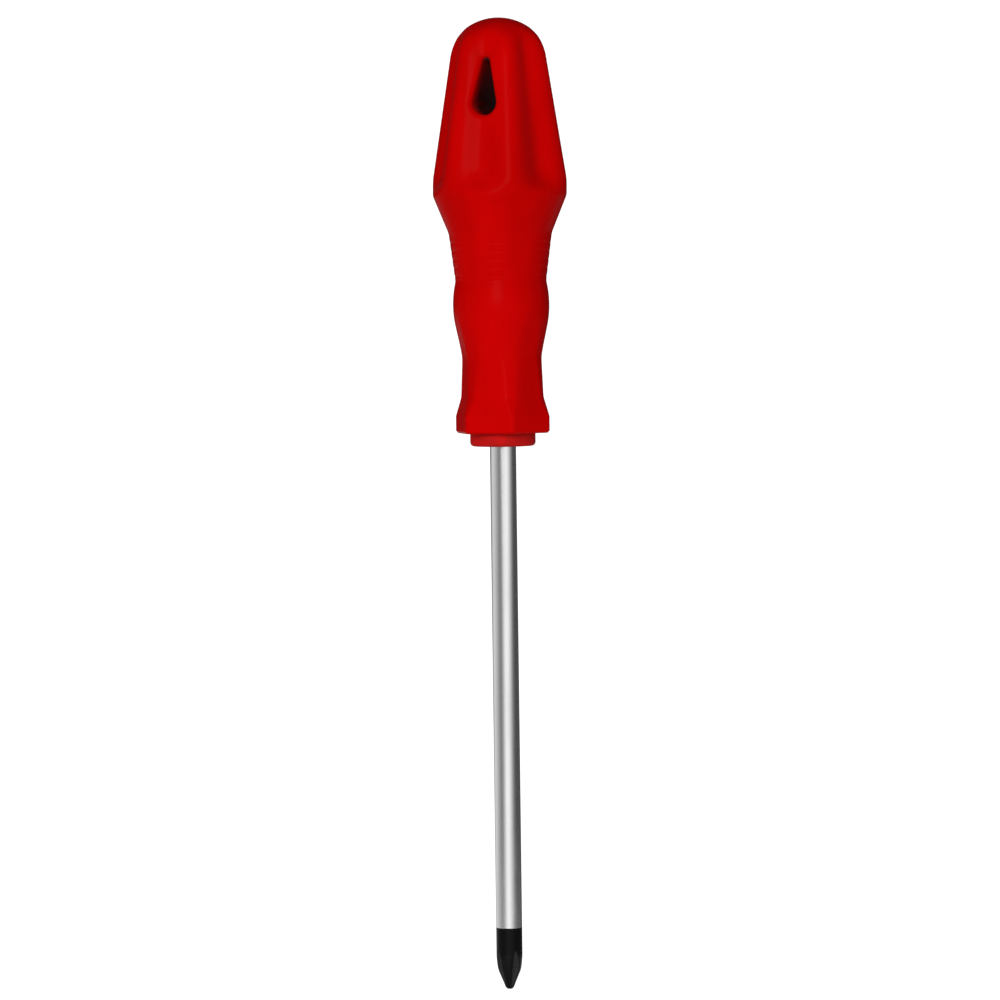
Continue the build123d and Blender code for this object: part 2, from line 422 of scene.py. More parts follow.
class Blank:
    """A closed turned mesh: rows of points round the axis, each point with the numbers that a rule reads."""

    FIELDS = ("share", "fixed", "inward", "flat", "extra")

    def __init__(self):
        self.points = []
        self.numbers = {field: [] for field in self.FIELDS}
        self.faces = []

    def add(self, x, y, z, **numbers):
        self.points.append((x, y, z))
        for field in self.FIELDS:
            self.numbers[field].append(numbers.get(field, 1.0 if field == "share" else 0.0))
        return len(self.points) - 1

    def turned(self, azimuth, radius, z, **numbers):
        radius = radius * numbers.get("share", 1.0)
        return self.add(radius * math.cos(azimuth), radius * math.sin(azimuth), z, **numbers)

    def band(self, first, second, skip=()):
        """Quads between two closed rows, apart from the columns in skip."""
        count = len(first)
        for k in range(count):
            if k not in skip:
                n = (k + 1) % count
                self.faces.append((first[k], first[n], second[n], second[k]))

    def cap(self, row, pole):
        for k, point in enumerate(row):
            self.faces.append((point, row[(k + 1) % len(row)], pole))

    def object(self, name):
        mesh = bpy.data.meshes.new(name)
        mesh.from_pydata(self.points, [], self.faces)
        for field, values in self.numbers.items():
            mesh.attributes.new(field, "FLOAT", "POINT").data.foreach_set("value", values)
        shape = bmesh.new()
        shape.from_mesh(mesh)
        loose = [point for point in shape.verts if not point.link_faces]
        bmesh.ops.delete(shape, geom=loose, context="VERTS")
        bmesh.ops.recalc_face_normals(shape, faces=shape.faces)
        shape.to_mesh(mesh)
        shape.free()
        made = bpy.data.objects.new(name, mesh)
        bpy.context.scene.collection.objects.link(made)
        return made


def turned_blank(rows, columns):
    """A blank from rows of (radius, z, numbers); its first and last rows are poles, columns are azimuths."""
    blank = Blank()
    first = blank.add(0, 0, rows[0][1])
    last = blank.add(0, 0, rows[-1][1])
    rings = []
    for radius, z, numbers in rows[1:-1]:
        spread = columns(z, radius) if callable(columns) else columns
        rings.append([blank.turned(azimuth, radius, z, **numbers) for azimuth in spread])
    blank.cap(rings[0], first)
    for upper, lower in zip(rings, rings[1:]):
        blank.band(upper, lower)
    blank.cap(rings[-1], last)
    return blank, rings


def sector_columns(sectors, steps, gather=1.4):
    """Azimuths round the axis that gather at the sectors' edges."""
    sector = 2 * math.pi / sectors
    rise = [sector / 2 * (k / steps) ** gather for k in range(steps)]
    columns = []
    for k in range(sectors):
        columns += [k * sector + offset for offset in rise]
        columns += [(k + 1) * sector - offset for offset in [sector / 2] + rise[:0:-1]]
    return columns


# --- grip ---
GRIP_STEPS = 20           # columns in half a sector
PATCH_EDGE = 6            # columns from a ridge to the edge of the patch round a mouth
PATCH_TOP = 14.3 * MM     # the patch round a mouth, above and below the origin
PATCH_BOTTOM = -6.2 * MM
LIP_STEPS = 7             # rings round the mouth's rounding
LAND_STEPS = 6            # rings from the mouth to the edge of its patch
TUNNEL_STEPS = 14         # rings along the hole
LIP_LAND = 1.35           # last ring of a mouth, as a share of its rounding
RIPPLE_TOP = 51.45        # depth of the first ripple
RIPPLE_RADIUS = 1.5
RIPPLE_RUN = (1.2, 9.0)   # finer steps begin above the first ripple and end below it
FINE_STEP = 0.16
EASE_REACH = 2.6          # the dome's corner is eased this far on both sides
EASE_STEPS = 14
FLUTE_TOP_DEPTH = 8.0     # depths at which the flutes' bottom radii are given
FLUTE_FOOT_DEPTH = 34.4
PLACING_STEPS = 12        # rounds that bring a point onto the fluted surface


def grip_rows():
    """Rows of the grip's blank: radius, height and numbers."""
    dome = (BUTT_CORNER[0] ** 2 + BUTT_CORNER[1] ** 2) / (2 * BUTT_CORNER[1])
    # Softened dome: the circle through the apex, then the bell's straight side, blended where they meet.
    end = math.asin(BUTT_CORNER[0] / dome)
    arc = [(dome * math.sin(a), dome * (1 - math.cos(a))) for a in np.linspace(0.0, end, 31)]
    side = rounded(GRIP_CORNERS, GRIP_ROUNDS)
    line = smoothed(arc[:-1] + [tuple(p) for p in side], BUTT_CORNER[1], EASE_REACH)
    flats = rounded(FLAT_CORNERS, FLAT_ROUNDS, step=0.2)
    flat_depths = [p[1] for p in flats]
    flat_radii = [p[0] for p in flats]
    rows = []
    for radius, depth in line:
        inside = depth >= flat_depths[0]
        flat = float(np.interp(depth, flat_depths, flat_radii)) if inside else NO_FLAT
        rows.append((radius * MM, height(depth), {"flat": flat * MM}))
    edge, low, numbers = rows[-1]
    for share in (0.9, 0.78, 0.66, 0.5, 0.25):
        rows.append((edge, low, {**numbers, "share": share}))
    rows.append((0.0, low, {}))
    return rows


def smoothed(line, depth, reach):
    """The line with its corner at that depth eased over reach on both sides."""
    line = [np.array(p, float) for p in line]
    travelled = np.concatenate([[0.0], np.cumsum([np.linalg.norm(b - a) for a, b in zip(line, line[1:])])])
    corner = float(np.interp(depth, [p[1] for p in line], travelled))
    radii = np.array([p[0] for p in line])
    depths = np.array([p[1] for p in line])

    def at(distance):
        return np.array([np.interp(distance, travelled, radii), np.interp(distance, travelled, depths)])

    start, end, middle = at(corner - reach), at(corner + reach), at(corner)
    eased = [(1 - share) ** 2 * start + 2 * share * (1 - share) * middle + share ** 2 * end
             for share in (k / EASE_STEPS for k in range(EASE_STEPS + 1))]
    before = [p for p, s in zip(line, travelled) if s < corner - reach - 1e-6]
    after = [p for p, s in zip(line, travelled) if s > corner + reach + 1e-6]
    return refined(before + eased + after)


def refined(line):
    """The line with closer steps where the ripples run."""
    low, high = RIPPLE_TOP - RIPPLE_RUN[0], RIPPLE_TOP + RIPPLE_RUN[1]
    points = [line[0]]
    for start, end in zip(line, line[1:]):
        run = float(np.linalg.norm(end - start))
        step = FINE_STEP if low < (start[1] + end[1]) / 2 < high else PLAIN_STEP
        pieces = max(1, math.ceil(run / step))
        points += [start + (end - start) * (k + 1) / pieces for k in range(pieces)]
    return points


def teardrop(sizes, count):
    """Points of the hanging hole's outline, each with its outward normal, clockwise from the tip, in X and Z."""
    low, tip, rise = sizes.hole_radius, sizes.hole_tip, sizes.hole_height
    lean = math.asin((low - tip) / rise)
    flank = math.sqrt(rise ** 2 - (low - tip) ** 2)
    turn_weight = 0.8 * MM    # how much a turn draws points
    tip_turn = math.pi / 2 - lean
    low_turn = math.pi / 2 + lean
    weights = ((tip + turn_weight) * tip_turn, flank, (low + turn_weight) * low_turn)
    total = sum(weights)
    half = []
    for k in range(count // 2 + 1):
        way = total * k / (count // 2)
        if way <= weights[0]:
            angle = math.pi / 2 - way / (tip + turn_weight)
            centre, radius = (0.0, rise), tip
        elif way <= weights[0] + weights[1]:
            share = (way - weights[0]) / weights[1]
            angle = lean
            centre, radius = (0.0, rise * (1 - share)), tip + (low - tip) * share
        else:
            angle = lean - (way - weights[0] - weights[1]) / (low + turn_weight)
            centre, radius = (0.0, 0.0), low
        normal = (math.cos(angle), math.sin(angle))
        half.append((radius * normal[0], centre[1] + radius * normal[1], *normal))
    other = [(-x, z, -nx, nz) for x, z, nx, nz in half[-2:0:-1]]
    return half + other


def fluted_radius(sizes, bell, turn, z):
    """Radius of the grip at an angle from a flute's centre line, where the plain bell has radius bell."""
    top, foot = height(FLUTE_TOP_DEPTH), height(FLUTE_FOOT_DEPTH)
    bottom = sizes.flute_foot + (sizes.flute_top - sizes.flute_foot) * (z - foot) / (top - foot)
    soft = sizes.flute_softness
    gap = bell - bottom
    near = max(soft - abs(gap), 0.0) / soft
    depth = max(gap, 0.0) + near * near * soft * 0.25
    return bell - depth * (0.5 + 0.5 * math.cos(sizes.flutes * turn))


def grip_blank(sizes):
    """The grip's turned blank with its hanging hole: a patch of rings round each mouth and a tunnel between."""
    rows = grip_rows()
    columns = sector_columns(sizes.flutes, GRIP_STEPS)
    blank = Blank()
    apex = blank.add(0, 0, rows[0][1])
    base = blank.add(0, 0, rows[-1][1])
    rings = [[blank.turned(azimuth, radius, z, **numbers) for azimuth in columns]
             for radius, z, numbers in rows[1:-1]]
    heights = [row[1] for row in rows[1:-1]]
    outer = [k for k, z in enumerate(heights) if PATCH_BOTTOM <= z <= PATCH_TOP]
    top_row, bottom_row = outer[0], outer[-1]
    quarter = 3 * GRIP_STEPS
    half_width = GRIP_STEPS - PATCH_EDGE
    centres = (quarter, quarter + len(columns) // 2)
    blank.cap(rings[0], apex)
    for k, (upper, lower) in enumerate(zip(rings, rings[1:])):
        in_patch = top_row <= k < bottom_row
        skip = {c + n for c in centres for n in range(-half_width, half_width)} if in_patch else ()
        blank.band(upper, lower, skip)
    blank.cap(rings[-1], base)

    turned = sorted((row[1], row[0]) for row in rows[1:-1] if row[2].get("share", 1.0) == 1.0)
    turned_z = [z for z, _ in turned]
    turned_radius = [radius for _, radius in turned]
    mouths = []
    for centre, side in zip(centres, (1, -1)):
        edge = patch_edge(rings, centre, half_width, top_row, bottom_row, side)
        outline = teardrop(sizes, len(edge))
        loops = []
        for step in range(LIP_STEPS + 2):
            if step <= LIP_STEPS:
                angle = math.pi / 2 * step / LIP_STEPS
                out = sizes.hole_lip * (1 - math.cos(angle))
                inward = sizes.hole_lip * (1 - math.sin(angle))
            else:
                out, inward = sizes.hole_lip * LIP_LAND, 0.0
            loops.append(([(x + nx * out, z + nz * out) for x, z, nx, nz in outline], inward))
        placed = []
        for loop, inward in loops:
            row = []
            for x, z in loop:
                turn, _ = place_on_flute(sizes, float(np.interp(z, turned_z, turned_radius)), x, z)
                row.append((turn, z, inward))
            placed.append(row)
        rim = placed[-1]
        edge_places = [azimuth_and_height(blank.points[p], side) for p in edge]
        for step in range(1, LAND_STEPS):
            share = step / LAND_STEPS
            placed.append([(a[0] + (b[0] - a[0]) * share, a[1] + (b[1] - a[1]) * share, 0.0)
                           for a, b in zip(rim, edge_places)])
        previous = None
        for row in placed:
            ring = []
            for turn, z, inward in row:
                azimuth = side * (math.pi / 2 - turn)
                radius = float(np.interp(z, turned_z, turned_radius))
                ring.append(blank.turned(azimuth, radius, z, inward=inward, flat=NO_FLAT * MM))
            if previous is None:
                mouths.append((ring, outline))
            else:
                blank.band(previous, ring)
            previous = ring
        blank.band(previous, edge)

    (front, outline), (rear, _) = mouths
    previous = front
    for step in range(1, TUNNEL_STEPS):
        share = 1 - 2 * step / TUNNEL_STEPS
        ring = []
        for x, z, _, _ in outline:
            turn, radius = place_on_flute(sizes, float(np.interp(z, turned_z, turned_radius)), x, z)
            mouth = radius * math.cos(turn) - sizes.hole_lip
            ring.append(blank.add(x, mouth * share, z, fixed=1.0, flat=NO_FLAT * MM))
        blank.band(previous, ring)
        previous = ring
    blank.band(previous, rear)
    return blank.object("grip_blank")


def place_on_flute(sizes, bell, x, z):
    """Angle from a flute's centre line and radius of the grip's surface at x, at a height."""
    radius = bell
    for _ in range(PLACING_STEPS):
        turn = math.asin(x / radius)
        radius = fluted_radius(sizes, bell, turn, z)
    return turn, radius


def azimuth_and_height(point, side):
    """Angle from the mouth's centre line, positive towards +X, and height of a point."""
    return math.atan2(point[0], side * point[1]), point[2]


def patch_edge(rings, centre, half_width, top_row, bottom_row, side):
    """Points round the edge of a mouth's patch, clockwise in X and Z from the middle of its top."""
    rights = [centre - side * n for n in range(half_width + 1)]
    lefts = [centre + side * n for n in range(half_width + 1)]
    edge = [rings[top_row][c] for c in rights]
    edge += [rings[r][rights[-1]] for r in range(top_row + 1, bottom_row + 1)]
    edge += [rings[bottom_row][c] for c in rights[-2::-1]]
    edge += [rings[bottom_row][c] for c in lefts[1:]]
    edge += [rings[r][lefts[-1]] for r in range(bottom_row - 1, top_row - 1, -1)]
    edge += [rings[top_row][c] for c in lefts[-2:0:-1]]
    return edge


def grip_rule(sizes, finish, cavity):
    """Flutes in the bell, flats at the nose and ripples round the waist, then the cavity for the core."""
    rule = Rule("fluted_grip", {
        "Flutes": sizes.flutes, "Flute Top": sizes.flute_top, "Flute Foot": sizes.flute_foot,
        "Flute Top Height": height(FLUTE_TOP_DEPTH),
        "Flute Foot Height": height(FLUTE_FOOT_DEPTH), "Flute Runout": sizes.flute_runout,
        "Flute Softness": sizes.flute_softness, "Flat Softness": sizes.flat_softness,
        "Ripples": sizes.ripples, "Ripple Pitch": sizes.ripple_pitch, "Ripple Depth": sizes.ripple_depth,
        "Ripple Radius": RIPPLE_RADIUS * MM, "Ripple Height": height(RIPPLE_TOP),
        "Cavity": cavity, "Finish": finish,
    })
    z, azimuth, turned, share = rule.place()
    sector = 2 * math.pi / rule.input("Flutes")
    from_ridge = azimuth.math("PINGPONG", sector * 0.5)
    turn = sector * 0.5 - from_ridge

    top, foot = rule.input("Flute Top Height"), rule.input("Flute Foot Height")
    rise = (z - foot) / (top - foot)
    runout = rule.input("Flute Runout")
    past = (foot - z).max(0.0)
    lift = runout - (runout * runout - past * past).sqrt()
    bottom = rule.input("Flute Foot") + (rule.input("Flute Top") - rule.input("Flute Foot")) * rise + lift
    left, _ = soft_min(turned, bottom, rule.input("Flute Softness"))
    radius = turned - (turned - left) * ((turn * rule.input("Flutes")).cos() * 0.5 + 0.5)
    radius, near_corner = soft_min(radius, rule.read("flat") / turn.cos(), rule.input("Flat Softness"))

    pitch = rule.input("Ripple Pitch")
    phase = (rule.input("Ripple Height") - z) / pitch
    off = abs((phase + 0.5).math("FRACT") - 0.5) * pitch
    round_ = rule.input("Ripple Radius")
    depth = rule.input("Ripple Depth")
    groove = ((round_ * round_ - off * off).sqrt() - round_ + depth).max(0.0)
    within = (phase > -0.5) * (phase < rule.input("Ripples") - 0.5)
    radius = (radius - groove * within) * share

    shaped = rule.shape(z, azimuth, radius, rule.read("inward"))
    shaped = rule.store(shaped, "edge", near_corner * share.math("FLOOR"))
    rule.close(rule.cut(shaped, ["Cavity"]))
    return rule


# --- core ---
CORE_STEPS = 10


def core_line(to_ring):
    """Radius and depth down the outside of the core, without its keys."""
    line = rounded(CORE_CORNERS, CORE_ROUNDS, step=1.0)
    line += [np.array(corner) for corner in COLLAR_CORNERS]
    line += rounded(NECK_CORNERS, (NECK_ROUND,), step=1.0)
    if to_ring:
        line += rounded(((RING_RADIUS, NOSE_DEPTH), (RING_RADIUS, RING_DEPTH), (RING_RADIUS - 2, RING_DEPTH)),
                        (RING_ROUND,), step=0.25)
    else:
        line.append(np.array((NECK_CORNERS[-1][0], NOSE_DEPTH + 1.0)))
    return line


def key_reach(depth):
    """Reach of the keys at a depth, or 0 where there are none."""
    depths = [d for _, d in KEY_LINE]
    if not depths[0] <= depth <= depths[-1]:
        return 0.0
    return float(np.interp(depth, depths, [r for r, _ in KEY_LINE]))


def core_rows(to_ring):
    """Rows of the core's blank; where the keys end, two rows share a height."""
    line = core_line(to_ring)
    end = KEY_LINE[-1][1]
    rows = [(0.0, height(CORE_CORNERS[0][1]), {})]
    for k, (radius, depth) in enumerate(line):
        if k and line[k - 1][1] < end < depth:
            share = (end - line[k - 1][1]) / (depth - line[k - 1][1])
            middle = line[k - 1][0] + (radius - line[k - 1][0]) * share
            rows.append((middle * MM, height(end), {"extra": key_reach(end) * MM}))
            rows.append((middle * MM, height(end), {}))
        rows.append((radius * MM, height(depth), {"extra": key_reach(depth) * MM}))
    edge, low, _ = rows[-1]
    rows.append((edge, low, {"share": 0.5}))
    rows.append((0.0, low, {}))
    return rows


def core_blank(sizes, to_ring, name):
    columns = sector_columns(sizes.flutes, CORE_STEPS, gather=1.0)
    blank, _ = turned_blank(core_rows(to_ring), columns)
    return blank.object(name)


def key_rule(sizes, finish, cutters):
    """Keys that stop the grip from turning on the core, then the holes that the cutters make."""
    values = {"Keys": sizes.flutes, "Key Width": KEY_WIDTH * MM, "Finish": finish}
    rule = Rule("keyed_core", {**values, **cutters})
    z, azimuth, turned, share = rule.place()
    from_key = azimuth.math("PINGPONG", math.pi / rule.input("Keys"))
    reach = rule.read("extra")
    key = (reach / from_key.cos()).min(rule.input("Key Width") * 0.5 / from_key.sin().max(1e-4))
    radius = turned.max(key * (reach > 0.0)) * share
    shaped = rule.shape(z, azimuth, radius)
    rule.close(rule.cut(shaped, list(cutters)) if cutters else shaped)
    return rule


def hole_cutter(sizes):
    """The hanging hole as a bar along Y, longer than the core is wide."""
    outline = teardrop(sizes, 96)
    reach = 20 * MM
    blank = Blank()
    ends = [[blank.add(x, y, z) for x, z, _, _ in outline] for y in (-reach, reach)]
    blank.band(*ends)
    blank.faces += [tuple(end) for end in ends]
    return blank.object("hole_cutter")


# --- blade ---
BLADE_SECTOR_STEPS = (14, 12)     # columns in a groove's flank and on half a wing of the tip
GROOVE_ROW = 0.12                 # longest step down the tip
TIP_ROUNDS = (12.0, 12.0, 12.0, 6.0, 0.5, 0.12)
BAR_ROWS = (40, 60)               # rows of the plain bar, and of its end next to the tip
FADE_UP = 8.0                     # the columns even out over this length, from this height
LEAST_TURN = math.radians(2.0)    # narrowest groove that keeps its own columns
TIP_ZONE = 30.0                   # no grooves above this height


def tip_rows():
    """Radius and height above the tip's end, from the full bar down to the flat at the end."""
    return rounded([(3.0, TIP_STRAIGHT), *TIP_SHAPE], TIP_ROUNDS, step=GROOVE_ROW)


def groove_bottom(sizes, up):
    """Axis to the bottom of a groove, at a height above the tip's end."""
    slope = sizes.groove_slope
    bend = sizes.groove_straight * math.cos(slope)
    if up <= bend:
        return sizes.groove_root + up * math.tan(slope)
    lift = min((up - bend) / sizes.groove_runout + math.sin(slope), 1.0)
    start = sizes.groove_root + sizes.groove_straight * math.sin(slope)
    return start + sizes.groove_runout * (math.cos(slope) - math.sqrt(1 - lift * lift))


def blade_columns(sizes):
    """Azimuths that follow the edges of the tip's grooves, and are even on the bar."""
    half = math.pi / sizes.grooves
    flank, wing = BLADE_SECTOR_STEPS
    side = math.pi / 2 - sizes.groove_angle / 2
    even = half * flank / (flank + wing)

    def edge_turn(z, radius):
        """Angle from a groove's centre line to its edge."""
        up = z - TIP_END
        if up > TIP_ZONE * MM or radius <= 0:
            return even
        ratio = groove_bottom(sizes, up) / radius * math.cos(side)
        turn = math.acos(min(ratio, 1.0)) - side if ratio < 1 else 0.0
        fade = min(max(up / MM - FADE_UP, 0.0) / FADE_UP, 1.0)
        return max(turn, LEAST_TURN + (even - LEAST_TURN) * fade)

    def columns(z, radius):
        edge = edge_turn(z, radius)
        inner = [edge * k / flank for k in range(flank)]
        outer = [edge + (half - edge) * k / wing for k in range(wing)]
        rise = inner + outer
        angles = []
        for k in range(sizes.grooves):
            centre = half + 2 * half * k
            angles += [centre - half] + [centre - offset for offset in rise[:0:-1]]
            angles += [centre + offset for offset in rise]
        return angles

    return columns


def blade_rows(sizes):
    """Rows of the blade's blank, from the tang's top to the tip's end."""
    bar = sizes.radius
    tang = TANG_RADIUS * MM
    length_half = WING_SIZE[2] / 2
    rows = [(0.0, TANG_TOP, {}), (tang - TANG_BEVEL * MM, TANG_TOP, {}), (tang, TANG_TOP - TANG_BEVEL * MM, {})]
    for depth in WING_DEPTHS:
        high, low = height(depth - length_half), height(depth + length_half)
        rows += [(tang, high, {}), (tang, high, {"extra": 1.0}), (tang, low, {"extra": 1.0}), (tang, low, {})]
    rows += [(tang, RING_FACE + TANG_TAPER * MM, {}), (bar, RING_FACE, {})]
    tip = [(radius * MM, TIP_END + up * MM) for radius, up in tip_rows()]
    start = tip[0][1] + FADE_UP * MM
    plain = np.linspace(RING_FACE - BAR_SHOULDER * MM, start, BAR_ROWS[0])
    near_tip = np.linspace(start, tip[0][1], BAR_ROWS[1])[1:-1]
    rows += [(bar, float(z), {}) for z in (*plain, *near_tip)]
    rows += [(radius, z, {}) for radius, z in tip]
    edge = rows[-1][0]
    rows.append((edge, TIP_END, {"share": 0.5}))
    rows.append((0.0, TIP_END, {}))
    return rows


def blade_blank(sizes):
    blank, _ = turned_blank(blade_rows(sizes), blade_columns(sizes))
    return blank.object("blade_blank")


def blade_rule(sizes, finish):
    """Grooves of the cross-head tip, and the pressed wings of the tang."""
    rule = Rule("cross_head_blade", {
        "Grooves": sizes.grooves, "Groove Angle": sizes.groove_angle, "Groove Root": sizes.groove_root,
        "Groove Slope": sizes.groove_slope, "Groove Straight": sizes.groove_straight,
        "Groove Runout": sizes.groove_runout, "Edge Softness": sizes.edge_softness,
        "Wing Width": WING_SIZE[0] * MM, "Wing Thickness": WING_SIZE[1] * MM, "Tip End": TIP_END,
        "Finish": finish,
    })
    z, azimuth, turned, share = rule.place()
    half = math.pi / rule.input("Grooves")
    turn = half - azimuth.math("PINGPONG", half)
    up = z - rule.input("Tip End")
    slope = rule.input("Groove Slope")
    straight = rule.input("Groove Straight")
    runout = rule.input("Groove Runout")
    past = (up - straight * slope.cos()).max(0.0)
    lift = past / runout + slope.sin()
    along = rule.input("Groove Root") + (up - past) * slope.math("TANGENT")
    bottom = along + runout * (slope.cos() - (1 - lift * lift).sqrt())
    steep = (rule.input("Groove Angle") * 0.5).math("TANGENT")
    groove = bottom * steep / (steep * turn.cos() - turn.sin()).max(1e-4)
    radius, near_edge = soft_min(turned, groove, rule.input("Edge Softness"))
    tipped = up < TIP_ZONE * MM
    radius = turned + (radius - turned) * tipped

    x, y = azimuth.cos(), azimuth.sin()
    wide = rule.input("Wing Width") * 0.5 / abs(x).max(1e-4)
    thick = rule.input("Wing Thickness") * 0.5 / abs(y).max(1e-4)
    wing, _ = soft_min(wide, thick, rule.input("Wing Thickness") * 0.5)
    pressed = rule.read("extra") > 0.5
    radius = radius + (wing.max(radius) - radius) * pressed

    shaped = rule.shape(z, azimuth, radius * share)
    shaped = rule.store(shaped, "edge", near_edge * tipped)
    rule.close(shaped)
    return rule


# --- finishes ---
# Painted shade in the hanging hole: its walls are coloured darker where the inside of the hole lies in shade, less
# so towards the top.
HOLE_SHADE_SIDE = (0.0029, 0.0033)     # distances from the origin between which the painted shade begins or ends
HOLE_SHADE_FOOT = (-0.0034, -0.0029)
HOLE_SHADE_TOP = (0.0112, 0.0118)
HOLE_SHADE_DEPTH = (0.0055, 0.0105)
HOLE_SHADE_FADE = (0.001, 0.009)       # heights over which the painted shade thins
HOLE_SHADE_COLOUR = (0.03, 0.0008, 0.0008, 1.0)


def grey(value):
    return (value, value, value, 1.0)


def new_finish(name, **settings):
    """A material with one Principled shader; settings are its uniform sockets."""
    material = bpy.data.materials.new(name)
    material.use_nodes = True
    nodes = Nodes(material.node_tree)
    shader = nodes.node("ShaderNodeBsdfPrincipled")
    for title, value in settings.items():
        shader.link.node.inputs[title.replace("_", " ")].default_value = value
    nodes.node("ShaderNodeOutputMaterial", {}, {"Surface": shader})
    return material, nodes, shader.link.node


def feed(nodes, shader, **links):
    for title, socket in links.items():
        nodes.tree.links.new(socket.link, shader.inputs[title.replace("_", " ")])


def object_place(nodes):
    return nodes.node("ShaderNodeTexCoord", output="Object")


def scaled(nodes, vector, factors):
    return nodes.node("ShaderNodeVectorMath", {"operation": "MULTIPLY"}, (vector, factors))


def hole_painted_shade(nodes, place, colour_in):
    """The colour with painted shade on the walls of the hanging hole, where its inside falls into shade, thinning
    towards the top.
    """
    x, y, z = nodes.split(place)
    beside = 1.0 - nodes.smooth_step(abs(x), *HOLE_SHADE_SIDE)
    above = nodes.smooth_step(z, *HOLE_SHADE_FOOT)
    deep = 1.0 - nodes.smooth_step(abs(y), *HOLE_SHADE_DEPTH)
    # painted light: the painted shade is made weaker towards the top of the hole
    shade_fades_up = 1.0 - nodes.smooth_step(z, *HOLE_SHADE_FADE) * 0.4
    below = 1.0 - nodes.smooth_step(z, *HOLE_SHADE_TOP)
    return nodes.mix(beside * above * below * deep * shade_fades_up * 0.93, colour_in, HOLE_SHADE_COLOUR)


def point_number(nodes, title):
    return nodes.node("ShaderNodeAttribute", {"attribute_type": "GEOMETRY", "attribute_name": title}, output="Fac")


def relief(nodes, height_socket, distance, strength=1.0):
    return nodes.node("ShaderNodeBump", {}, {"Strength": strength, "Distance": distance, "Height": height_socket},
                      output="Normal")


def grip_finish(colours):
    """Satin moulded plastic: a fine spark-eroded texture, faint flow marks, ridges rubbed a little smoother."""
    material, nodes, shader = new_finish("satin_red_moulding", IOR=1.46, Specular_IOR_Level=0.006)
    place = object_place(nodes)
    grain = nodes.noise(place, 5200.0, 3.0, 0.6)
    pores = nodes.noise(place, 1700.0, 2.0, 0.5)
    flow = nodes.noise(scaled(nodes, place, (1.0, 1.0, 0.35)), 90.0, 3.0, 0.55)
    rubbed = nodes.smooth_step(point_number(nodes, "edge"), 0.55, 1.0)
    red = tuple(colours.grip_red)
    deep = tuple(c * 0.84 for c in red)
    bright = tuple(min(1.0, c * 1.07) for c in red)
    base = nodes.mix(nodes.smooth_step(flow, 0.3, 0.7), (*deep, 1.0), (*red, 1.0))
    base = nodes.mix(rubbed * 0.2, base, (*bright, 1.0))
    # painted shade on the walls of the hanging hole
    base = hole_painted_shade(nodes, place, base)
    rough = 0.28 + (flow - 0.5) * 0.12 + (pores - 0.5) * 0.10 - rubbed * 0.04
    normal = relief(nodes, grain * 0.6 + pores * 0.4, 0.000018, 0.6)
    feed(nodes, shader, Base_Color=base, Roughness=rough, Normal=normal)
    return material


def core_finish(colours):
    """Hard plastic of the core: duller red in clouds, with a fine grain in its surface."""
    material, nodes, shader = new_finish("hard_red_moulding", IOR=1.5, Specular_IOR_Level=0.02)
    place = object_place(nodes)
    grain = nodes.noise(place, 3600.0, 3.0, 0.6)
    cloud = nodes.noise(place, 240.0, 3.0, 0.6)
    red = tuple(colours.core_red)
    dull = tuple(c * 0.75 + 0.004 for c in red)
    base = nodes.mix(nodes.smooth_step(cloud, 0.35, 0.7), (*dull, 1.0), (*red, 1.0))
    # painted shade on the walls of the hanging hole
    base = hole_painted_shade(nodes, place, base)
    rough = 0.5 + (cloud - 0.5) * 0.2
    feed(nodes, shader, Base_Color=base, Roughness=rough, Normal=relief(nodes, grain, 0.00002, 0.5))
    return material


def blade_finish(colours, sizes):
    """Bright plating over fine grinding rings, with a black finish on the tip that has a sharp edge."""
    material, nodes, shader = new_finish("plated_bar_with_black_tip", IOR=1.5, Specular_IOR_Level=0.09)
    place = object_place(nodes)
    x, y, z = nodes.split(place)
    azimuth = y.math("ARCTAN2", x)
    ragged = nodes.noise(nodes.node("ShaderNodeCombineXYZ", {}, (azimuth, 0.0, 0.0)), 3.0, 2.0)
    limit = TIP_END + sizes.black_length + (ragged - 0.5) * 0.00012
    black = 1.0 - nodes.smooth_step(z - limit, -0.00004, 0.00004)
    rings = nodes.noise(scaled(nodes, place, (60.0, 60.0, 9000.0)), 1.0, 3.0, 0.6)
    smudge = nodes.noise(scaled(nodes, place, (1.0, 1.0, 0.3)), 130.0, 3.0, 0.6)
    rubbed = nodes.smooth_step(point_number(nodes, "edge"), 0.4, 1.0)
    chrome = tuple(colours.chrome)
    warm = tuple(c * 0.93 for c in chrome)
    plate = nodes.mix(nodes.smooth_step(smudge, 0.35, 0.75), (*chrome, 1.0), (*warm, 1.0))
    bare = tuple(c * 0.12 for c in chrome)
    tip = nodes.mix(rubbed * 0.2, (*colours.black, 1.0), (*bare, 1.0))
    base = nodes.mix(black, plate, tip)
    rough_plate = 0.13 + (rings - 0.5) * 0.06 + nodes.smooth_step(smudge, 0.5, 0.8) * 0.05
    rough_tip = 0.18 + (smudge - 0.5) * 0.06 - rubbed * 0.03
    rough = rough_plate + (rough_tip - rough_plate) * black
    metal = 1.0 - black * (1.0 - rubbed * 0.15)
    speckle = nodes.noise(place, 4200.0, 2.0, 0.5)
    bumps = rings * (1.0 - black) * 0.25 + speckle * black
    feed(nodes, shader, Base_Color=base, Roughness=rough, Metallic=metal,
         Normal=relief(nodes, bumps, 0.000006, 0.5))
    return material


